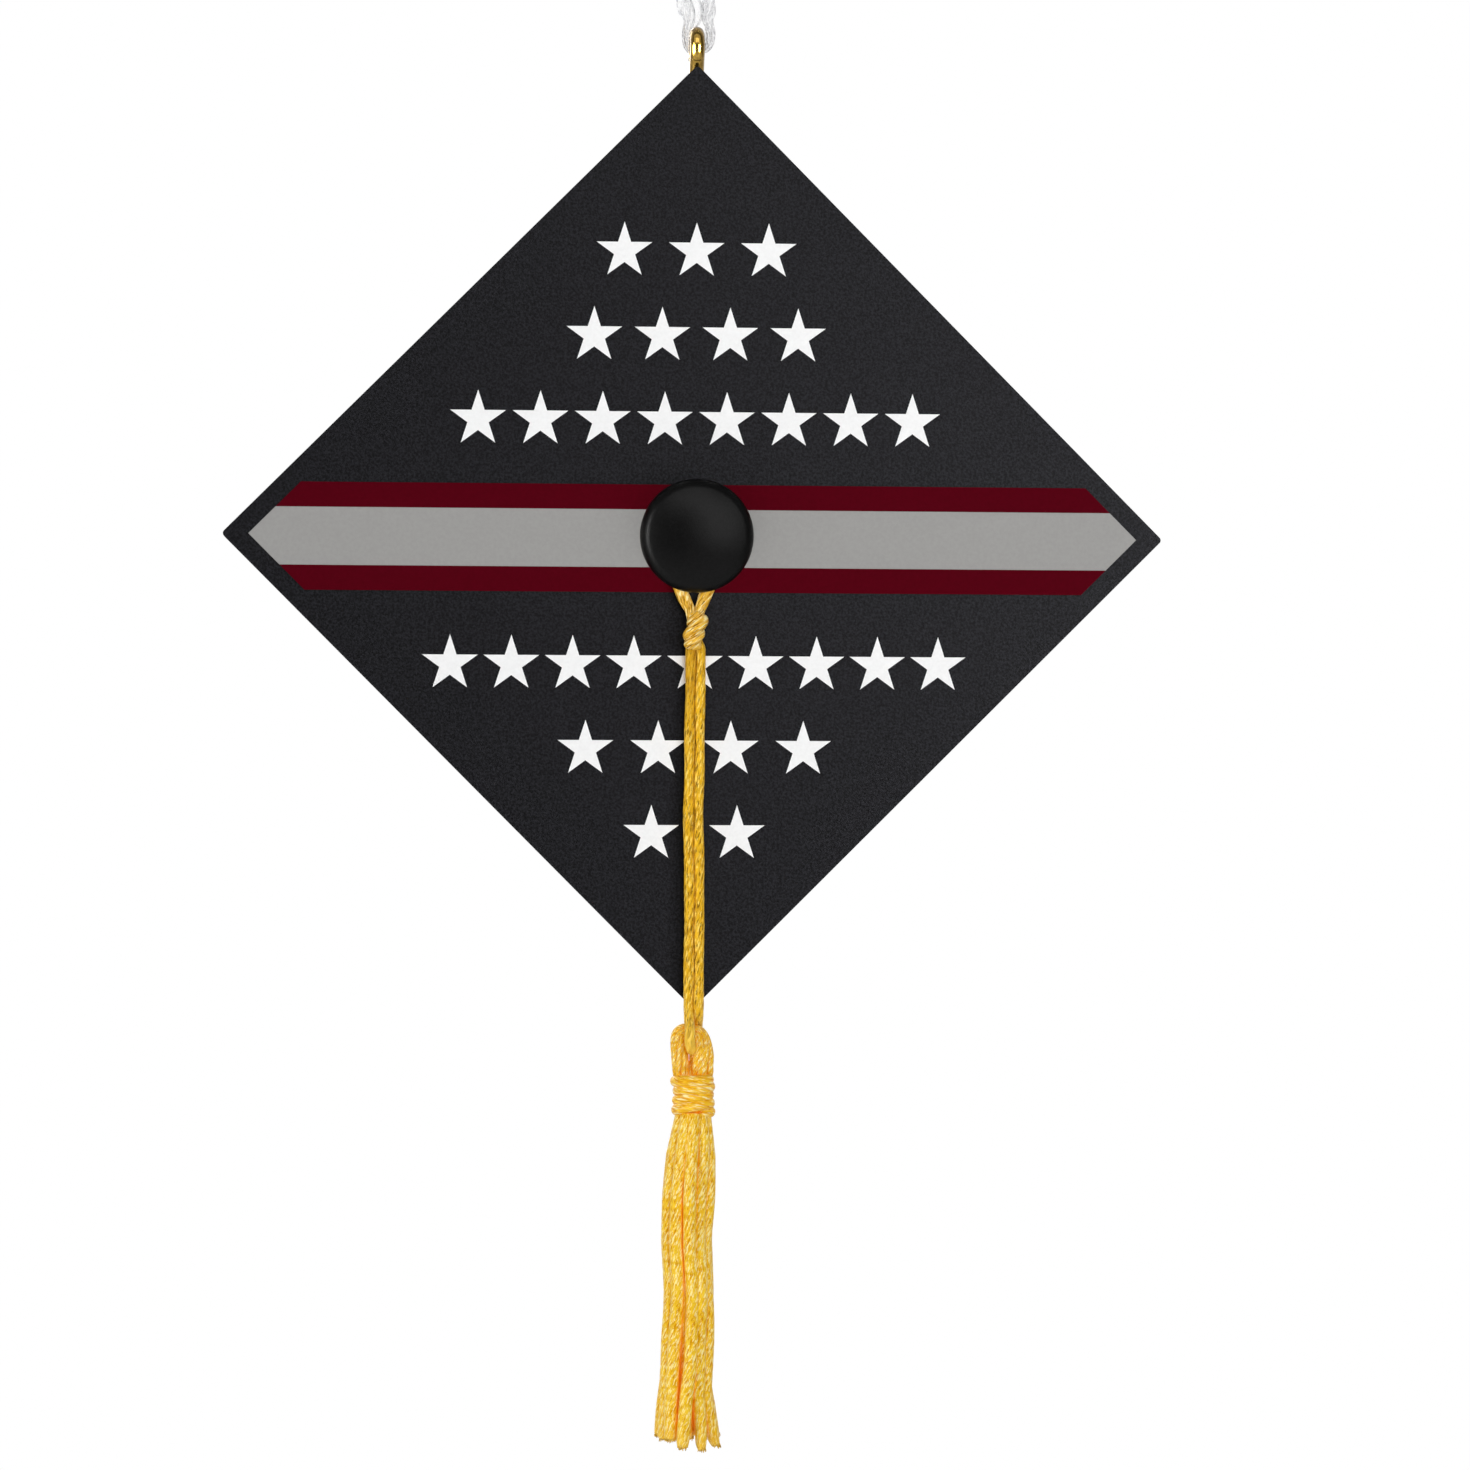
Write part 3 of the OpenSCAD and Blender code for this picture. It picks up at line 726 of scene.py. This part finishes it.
def tassel_fold():
    """The yarns folded over the bight: a slimmer left lobe, a fuller right one, and a filled middle."""
    neck = BINDING_TOP + 1.3
    left = [(-0.6, neck), (-1.2, BINDING_TOP + 0.1), (-1.33, BINDING_TOP - 1.0), (-1.42, FOLD_DOWN - 0.5)]
    crest = [(-1.3, FOLD_DOWN - 1.6), (-0.75, FOLD_DOWN - 1.9), (-0.05, FOLD_DOWN - 1.65)]
    crest += [(0.38, FOLD_DOWN - 1.6), (0.68, FOLD_DOWN - 1.0)]
    right = [(0.82, FOLD_DOWN), (0.82, BINDING_TOP - 0.9), (0.85, BINDING_TOP + 0.1), (0.5, neck)]
    path = curve_through([at(x, CORD_FRONT, d) for x, d in left + crest + right], FINE)
    share = np.linspace(0, 1, len(path))
    places = [0, 0.12, 0.22, 0.34, 0.42, 0.5, 0.6, 0.76, 0.88, 1]
    outer = np.interp(share, places, [0.6, 0.85, 0.9, 0.9, 0.9, 0.86, 1.0, 1.3, 1.2, 0.65])
    yarns = bundle(path, 10, outer, 2.9, 0.3)
    middle_ends = [at(-0.4, CORD_FRONT - 0.2, FOLD_DOWN + 1.05), at(-0.4, CORD_FRONT, neck)]
    middle = curve_through(middle_ends, FINE)
    yarns += bundle(middle, 5, np.linspace(0.42, 0.75, len(middle)), 2.9, 0.1)
    place(strand_mesh("fold_yarns", yarns), "tassel", YARN_GOLD, "gold_yarn", "tassel_fold")


def tassel_binding():
    """Four turns of cord wound tightly and a little unevenly over the neck of the yarns."""
    turns = 4.15
    length = BINDING_END - BINDING_TOP
    wire_r = length / 8
    path = []
    for t in np.linspace(0, 1, 130):
        angle = TURN * turns * t
        ends = min(1, t * 30, (1 - t) * 30)
        waist = np.interp(t, [0, 0.15, 0.4, 0.8, 1], [0.12, 0.1, -0.12, -0.08, 0.06])
        r = (BINDING_R - wire_r) * (0.72 + 0.28 * ends) + waist + 0.05 * math.sin(1.7 * angle + 1)
        slip = 0.1 * math.sin(angle * 0.9) + 0.1 * math.cos(angle + 2.2 * t)
        down = BINDING_TOP + wire_r - 0.25 + (length - 2 * wire_r + 0.25) * t + slip
        path.append(at(r * math.cos(angle), CORD_FRONT + r * math.sin(angle), down))
    points = curve_through(path, FINE)
    wrap = Strand(points, wire_r * 1.05, plies=7, pitch=6.2, depth=0.17, sides=42, first=(0, 0, 1))
    neck_ends = [at(0, CORD_FRONT, BINDING_TOP + 0.5), at(0, CORD_FRONT, BINDING_END - 0.1)]
    neck_path = curve_through(neck_ends, FINE)
    neck = Strand(neck_path, BINDING_R - 1.7 * wire_r, plies=7, pitch=16, depth=0.3, sides=42)
    place(strand_mesh("binding_wrap", [wrap, neck]), "tassel", YARN_GOLD, "gold_cord", "tassel_binding")


# places of the five front yarns round the skirt, as shares of a turn from its right side
FRONT_PLACES = [0.05, 0.15, 0.25, 0.35, 0.45]


def envelope(t):
    """Outer radius of the skirt, from the binding (t = 0) to the cut ends (t = 1), where it flares."""
    places = [0, 0.05, 0.13, 0.26, 0.55, 0.84, 0.91, 1]
    return np.interp(t, places, [1.8, 2.1, 2.5, 2.62, 2.62, 2.76, 3.1, 3.4])


def lean(t):
    """How far the skirt's middle hangs to one side."""
    return np.interp(t, [0, 0.08, 0.25, 0.4, 0.55, 0.85, 1], [0, -0.1, -0.42, -0.62, -0.42, -0.5, -0.3])


def wander(t, fewest, most):
    """A slow wave along a yarn, with between fewest and most turns and a random start."""
    return np.sin(TURN * (rng.uniform(fewest, most) * t + rng.random()))


def skirt_yarn(ring, place_on_ring):
    """One yarn of the skirt, and the loose filaments at its cut end.

    The front yarns' ends are each cut, flared and pushed aside by their own amounts."""
    cut, flare, aside = -0.95, 0, 0
    if ring == 2 and place_on_ring < 0.5:
        cut = np.interp(place_on_ring, FRONT_PLACES, [-0.25, 0, -0.3, -0.8, -0.8])
        flare = np.interp(place_on_ring, FRONT_PLACES, [-0.2, -0.2, -0.05, 0.1, 0.15])
        aside = np.interp(place_on_ring, FRONT_PLACES, [0, -0.9, -0.8, 0, 0])
    inside_binding = 0.9
    length = SKIRT_END - SKIRT_TOP + 0.2 + cut + rng.uniform(-0.08, 0.05)
    t = np.linspace(0, 1, int(length / 0.16))
    widest = rng.uniform(0.66, 0.73)
    fan = flare * np.clip((t - 0.88) / 0.12, 0, 1) ** 1.5 - 0.2 * np.clip((t - 0.975) / 0.025, 0, 1) ** 2
    radius = np.interp(t, [0, 0.05, 0.16, 0.5, 1], [0.62, 0.64, 0.67, widest, widest]) * (1 + fan)
    ring_r = ring * (envelope(t) - radius) / 2
    drift = rng.uniform(-0.14, 0.14) * t + 0.07 * wander(t, 0.6, 1.5) * t**0.5
    angle = TURN * place_on_ring + drift
    sway = (0.12 if ring == 2 else 0.08) * np.minimum(1, 4 * t)
    sway_x = lean(t) + sway * wander(t, 1.2, 2.4)
    sway_y = sway * wander(t, 1.2, 2.4)
    down = SKIRT_TOP - inside_binding + length * t
    sway_x = sway_x + aside * np.clip((t - 0.75) / 0.25, 0, 1) ** 1.3
    across, front = ring_r * np.cos(angle) + sway_x, CORD_FRONT + ring_r * np.sin(angle) + sway_y
    points = np.array([at(*p) for p in zip(across, front, down)])
    depth = rng.choice((0.03, 0.05, 0.11)) * (1 - 0.4 * np.clip((t - 0.85) / 0.15, 0, 1))
    # painted light: the yarn is made paler at its cut end
    pale = 0.75 * np.clip((t - 0.95) / 0.05, 0, 1)
    pitch, turn = rng.uniform(5.6, 6.8), rng.uniform(0, 6)
    yarn = Strand(points, radius, plies=5, pitch=pitch, depth=depth, sides=36, turn=turn, pale=pale)
    return [yarn] + loose_filaments(points, radius[-1])


def nudge(spread):
    """A small random step in the level plane."""
    return np.array([rng.gauss(0, spread), rng.gauss(0, spread), 0])


def loose_filaments(points, radius):
    """Fine ends that stick out of a yarn's cut."""
    ahead = unit(points[-1] - points[-6])
    ends = []
    for _ in range(26):
        around, out = rng.uniform(0, TURN), math.sqrt(rng.uniform(0.02, 0.9)) * radius * MM
        outward = np.array([math.cos(around), math.sin(around), 0])
        root = points[-1] + out * outward - ahead * 0.3 * MM
        way = ahead + outward * rng.uniform(-0.05, 0.3) + nudge(0.12)
        tip = root + unit(way) * rng.uniform(0.3, 0.65) * MM
        middle = (root + tip) / 2 + nudge(0.03) * MM
        line = curve_through([root, middle, tip], 0.12 * MM)
        # painted light: the loose ends are made paler, as at the yarns' cut ends
        ends.append(Strand(line, np.linspace(0.09, 0.04, len(line)), plies=1, sides=5, pale=0.75))
    return ends


def skirt():
    """One yarn in the middle, five round it and ten outside."""
    for ring, name in ((0, "core_strand"), (1, "inner_strands"), (2, "outer_strands")):
        count = max(1, 5 * ring)
        yarns = []
        for k in range(count):
            yarns += skirt_yarn(ring, (k + 0.5) / count + rng.uniform(-0.014, 0.014))
        place(strand_mesh(f"skirt_{name}_yarn", yarns), "tassel", SKIRT_GOLD, "gold_yarn", f"skirt_{name}")


# ---------- ribbon ----------

WEAVE = 0.14  # one unit of the sheets' UVs along the ribbon

def sheet(name, rows, thickness_mm=0.03):
    """A closed thin sheet from rows of points, with its UVs across and along."""
    rows = np.array(rows)
    count, width = rows.shape[:2]
    run = run_of(rows[:, width // 2]) / MM
    faces, uvs = [], []
    for i in range(count - 1):
        for j in range(width - 1):
            a = i * width + j
            faces.append((a, a + 1, a + width + 1, a + width))
            u0, u1 = j / (width - 1), (j + 1) / (width - 1)
            v0, v1 = run[i] / WEAVE, run[i + 1] / WEAVE
            uvs += [(u0, v0), (u1, v0), (u1, v1), (u0, v1)]
    mesh = bpy.data.meshes.new(name)
    mesh.from_pydata(rows.reshape(-1, 3).tolist(), [], faces)
    mesh.uv_layers.new(name="UVMap").data.foreach_set("uv", np.array(uvs, np.float32).ravel())
    mesh.polygons.foreach_set("use_smooth", [True] * len(mesh.polygons))
    piece = shown(name, mesh)
    solid = piece.modifiers.new("thickness", "SOLIDIFY")
    solid.thickness = thickness_mm * MM
    solid.offset = 0
    return piece


def ribbon_rows(path, half_width, fold_depth, folds, seed):
    """Rows of points across a gathered ribbon, folded to and fro, whose folds drift along the path."""
    noise = random.Random(seed)
    _, across, out = side_directions(path, first=(0, -1, 0))
    u = np.linspace(-1, 1, 97)
    t = np.linspace(0, 1, len(path))
    drift = [noise.random() for _ in range(6)]
    rows = []
    for i, point in enumerate(path):
        slow = [math.sin(TURN * (t[i] * (1.5 + 1.3 * k) + drift[k])) for k in range(6)]
        lay = TURN * (folds * (u + 1) / 2 + 0.3 * slow[0] + 0.12 * slow[1] * np.sin(3 * u + drift[2] * 6))
        bulge = np.sqrt(1 - (0.94 * u) ** 2)
        meander = np.sin(lay) * (0.82 + 0.18 * slow[2]) + 0.22 * np.sin(2.3 * lay + 4 * slow[3])
        offset_across = half_width[i] * (u + 0.1 * np.sin(2 * lay + slow[4]))
        offset_out = fold_depth[i] * bulge * meander
        rows.append(point + (offset_across[:, None] * across[i] + offset_out[:, None] * out[i]) * MM)
    return rows


def threads_on(name, rows, count, seed, radius=0.018):
    """Fine threads that waver along a gathered ribbon's surface."""
    noise = random.Random(seed)
    rows = np.array(rows)[::2]
    t = np.linspace(0, 1, len(rows))
    last = rows.shape[1] - 1
    lines = []
    for _ in range(count):
        middle, swing, phase = noise.uniform(0.02, 0.98), noise.uniform(0.01, 0.05), noise.random()
        share = middle + swing * np.sin(TURN * (noise.uniform(2, 6) * t + phase))
        place_across = np.clip(share, 0, 1) * last
        low = np.minimum(place_across.astype(int), last - 1)
        rest = (place_across - low)[:, None]
        row = np.arange(len(rows))
        points = rows[row, low] * (1 - rest) + rows[row, low + 1] * rest
        lines.append(Strand(points, radius, plies=1, sides=4))
    return strand_mesh(name, lines)


def ribbon_loop():
    """One long sheer ribbon: gathered in the eye, opening as it rises, and gathered again at the knot.

    Its outline is given as (across, height above the eye's middle)."""
    top = RIBBON_KNOT_Z - 1.2
    side = [(1.1, 0.95), (1.05, 1.9), (0.76, 3.0), (1.0, 4.3), (1.75, 8.5), (5.2, 14), (8.2, 21)]
    side += [(RIBBON_HALF_W, 27), (7.6, 34), (4.4, 41), (1.6, 46), (0.5, top)]
    under = [(0.9, 0.05), (0.5, -0.2), (0, -0.1), (-0.5, -0.2), (-0.9, 0.05)]
    outline = [(x, z) for x, z in reversed(side)] + under + [(-x, z) for x, z in side]
    drape = 0.22
    path = curve_through([((x + drape * min(1, abs(x))) * MM, 0, z * MM) for x, z in outline], 0.2 * MM)
    run = run_of(path) / MM
    from_eye = np.abs(run - run[-1] / 2)
    to_knot = run[-1] / 2 - from_eye
    half_width = np.interp(from_eye, [0, 1.5, 3, 5, 12, 24], [0.42, 0.8, 0.95, 1.1, 1.8, 2.9])
    half_width = np.minimum(half_width, np.interp(to_knot, [0, 4, 14], [0.7, 1.2, 3.0]))
    places = [0, 0.5, 1.3, 3.2, 4.8, 7, 24]
    fold_depth = np.interp(from_eye, places, [0.34, 0.5, 0.7, 0.75, 1.25, 0.85, 0.32])
    rows = ribbon_rows(path, half_width, fold_depth, 1.4, 11)
    place(sheet("ribbon_loop_sheet", rows), "ribbon", ORGANZA, "ribbon_white", "ribbon_loop")
    place(threads_on("ribbon_loop_threads", rows, 56, 12, 0.015), "ribbon", THREADS, "ribbon_white")


def ribbon_knot():
    """Both ends of the ribbon tied in one overhand knot."""
    path = []
    for t in np.linspace(0, 1, 70):
        angle = TURN * (1.7 * t + 0.1)
        r = 1.15 + 0.25 * math.sin(math.pi * t)
        height = RIBBON_KNOT_Z + 1.3 - 2.6 * t
        path.append((r * math.cos(angle) * MM, 0.95 * r * math.sin(angle) * MM, height * MM))
    points = curve_through(path, 0.2 * MM)
    share = np.linspace(0, 1, len(points))
    half_width = 0.75 + 0.25 * np.sin(math.pi * share)
    rows = ribbon_rows(points, half_width, 0.3 + 0 * share, 1.6, 23)
    place(sheet("ribbon_knot_wrap", rows), "ribbon", ORGANZA, "ribbon_white", "ribbon_knot")
    place(threads_on("ribbon_knot_threads", rows, 20, 24), "ribbon", THREADS, "ribbon_white")


def ribbon_tails():
    """The two cut ends above the knot."""
    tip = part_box("ribbon_tails")[1].z / MM
    line = [(0.2, RIBBON_KNOT_Z - 0.5), (1.1, RIBBON_KNOT_Z + 2.4)]
    line += [(3.0, RIBBON_KNOT_Z + 7), (5.0, tip - 0.6)]
    for side, seed in ((-1, 31), (1, 37)):
        path = curve_through([(x * side * MM, 0, z * MM) for x, z in line], 0.3 * MM)
        t = np.linspace(0, 1, len(path))
        half_width = np.interp(t, [0, 0.3, 1], [0.6, 1.3, 2.4])
        fold_depth = np.interp(t, [0, 0.4, 1], [0.4, 0.35, 0.22])
        rows = ribbon_rows(path, half_width, fold_depth, 1.2, seed)
        name = f"ribbon_tail_{'left' if side < 0 else 'right'}"
        nodes = ("ribbon_tails",) if side < 0 else ()
        place(sheet(name, rows), "ribbon", ORGANZA, "ribbon_white", *nodes)
        place(threads_on(name + "_threads", rows, 16, seed + 1), "ribbon", THREADS, "ribbon_white")


board_and_printing()
button()
fixings()
screw_eye()
cord_loop()
cord_knot()
cord_run()
tassel_fold()
tassel_binding()
skirt()
ribbon_loop()
ribbon_knot()
ribbon_tails()

# ---------- stage ----------


def floor():
    """A wide pale floor well below the tassel, that fades to the surroundings' white with distance."""
    mesh = bpy.data.meshes.new("floor")
    z, half = cad_low.z - 110 * MM, 600 * MM
    corners = [(-half, -half, z), (half, -half, z), (half, half, z), (-half, half, z)]
    mesh.from_pydata(corners, [], [(0, 1, 2, 3)])
    piece = shown("floor", mesh)
    m = Shader("pale_floor")
    colour = m.mix(m.noise(30, 2), rgb(240, 240, 240), rgb(246, 246, 246))
    length = m.add("ShaderNodeVectorMath", {0: m.coords.outputs["Object"]}, operation="LENGTH")
    seen = m.add("ShaderNodeLightPath").outputs["Is Camera Ray"]
    fade = m.maths("MULTIPLY", seen, m.remap(length.outputs["Value"], 240 * MM, 550 * MM, 0, 1))
    colour = m.mix(fade, colour, rgb(0, 0, 0))
    m.finish(Base_Color=colour, Roughness=0.8, Emission_Color=(1, 1, 1, 1), Emission_Strength=fade)
    mesh.materials.append(m.material)


def surroundings():
    """White to the camera. To everything else, dim in front of the object and bright behind it."""
    world = bpy.data.worlds.new("studio")
    bpy.context.scene.world = world
    world.use_nodes = True
    tree = world.node_tree
    seen, room = tree.nodes["Background"], tree.nodes.new("ShaderNodeBackground")
    seen.inputs["Color"].default_value = (1, 1, 1, 1)
    seen.inputs["Strength"].default_value = 1.0
    room.inputs["Color"].default_value = (1, 1, 1, 1)
    direction = tree.nodes.new("ShaderNodeSeparateXYZ")
    tree.links.new(tree.nodes.new("ShaderNodeTexCoord").outputs["Generated"], direction.inputs[0])
    behind = tree.nodes.new("ShaderNodeMapRange")
    for name, value in (("From Min", -0.1), ("From Max", 0.5), ("To Min", 0.12), ("To Max", 0.75)):
        behind.inputs[name].default_value = value
    tree.links.new(direction.outputs["Y"], behind.inputs["Value"])
    tree.links.new(behind.outputs["Result"], room.inputs["Strength"])
    path = tree.nodes.new("ShaderNodeLightPath")
    mix = tree.nodes.new("ShaderNodeMixShader")
    tree.links.new(path.outputs["Is Camera Ray"], mix.inputs[0])
    tree.links.new(room.outputs[0], mix.inputs[1])
    tree.links.new(seen.outputs[0], mix.inputs[2])
    tree.links.new(mix.outputs[0], tree.nodes["World Output"].inputs["Surface"])


def linked(name, pieces, state):
    """A collection that takes the given pieces into a light's reach, or out of it."""
    chosen = bpy.data.collections.new(name)
    for piece in pieces:
        chosen.objects.link(piece)
    for entry in chosen.collection_objects:
        entry.light_linking.link_state = state
    return chosen


def softbox(
    name, azimuth, elevation, size_mm, watts, distance_mm=520, state="INCLUDE", pieces=(), no_shadow=()
):
    """A soft light aimed at the middle of the object. Azimuth 0 is straight in front, 90 to the right.

    It may light the given pieces only, or be kept off them. Pieces in no_shadow don't block it."""
    light = bpy.data.lights.new(name, "AREA")
    light.shape = "RECTANGLE"
    light.size, light.size_y = size_mm[0] * MM, size_mm[1] * MM
    light.energy = watts
    lamp = bpy.data.objects.new(name, light)
    bpy.context.scene.collection.objects.link(lamp)
    a, e = math.radians(azimuth), math.radians(elevation)
    target = Vector(at(0, 0, 15))
    way = Vector((math.sin(a) * math.cos(e), -math.cos(a) * math.cos(e), math.sin(e)))
    lamp.location = target + way * distance_mm * MM
    lamp.rotation_mode = "QUATERNION"
    lamp.rotation_quaternion = way.to_track_quat("Z", "Y")
    if pieces:
        lamp.light_linking.receiver_collection = linked(name + "_lit", pieces, state)
    if no_shadow:
        lamp.light_linking.blocker_collection = linked(name + "_passes", no_shadow, "EXCLUDE")


def lights():
    """Plain soft studio light. Some are kept for one piece, and the eye's two throw no glints past it."""
    board = frame["nodes"]["board"]
    head, eye = bpy.data.objects["button_turned"], bpy.data.objects["eye_wire"]
    prints = [frame["nodes"][name] for name in frame["nodes"] if name.startswith("print_")]
    softbox("key", 28, 16, (400, 400), 1.44, state="EXCLUDE", pieces=[eye], no_shadow=[head])
    softbox("strip", -66, 2, (36, 420), 1.2, state="EXCLUDE", pieces=[board] + prints)
    softbox("eye_left", -62, -2, (330, 330), 20.0, pieces=[eye])
    softbox("eye_right", 28, -2, (220, 330), 13.0, pieces=[eye])
    softbox("eye_top", -10, 50, (900, 500), 1.3, pieces=[eye])
    for name in ("eye_left", "eye_right"):
        bpy.data.lights[name].cycles.max_bounces = 0
    softbox("edge", -68, 6, (30, 300), 0.9, pieces=[head])
    softbox("wash", 52, 4, (60, 160), 0.3, distance_mm=190, pieces=[board])
    softbox("top", -6, 42, (380, 200), 0.7, no_shadow=[head])
    softbox("low", 8, -34, (300, 140), 0.16, state="EXCLUDE", pieces=[head])
    softbox("back", 205, 25, (300, 300), 1.1)


def camera():
    """Level with the frame's middle, a little to the left, with a long lens and a trace of roll."""
    frame_mm, distance, turn, roll = 147.75, 470.0, math.radians(4.5), math.radians(0.27)
    aim = at(4.08, BOARD_FRONT, 19.9)
    lens = bpy.data.cameras.new("camera")
    lens.sensor_width = 36.0
    lens.lens = lens.sensor_width * distance / frame_mm
    lens.clip_start, lens.clip_end = 0.01, 10.0
    rig = bpy.data.objects.new("camera", lens)
    bpy.context.scene.collection.objects.link(rig)
    rig.location = aim + distance * MM * np.array([-math.sin(turn), -math.cos(turn), 0])
    rig.rotation_mode = "QUATERNION"
    look = Vector(aim) - rig.location
    rig.rotation_quaternion = look.to_track_quat("-Z", "Y") @ Quaternion((0, 0, 1), roll)
    bpy.context.scene.camera = rig


floor()
surroundings()
lights()
camera()
bpy.context.scene.view_settings.view_transform = "Standard"
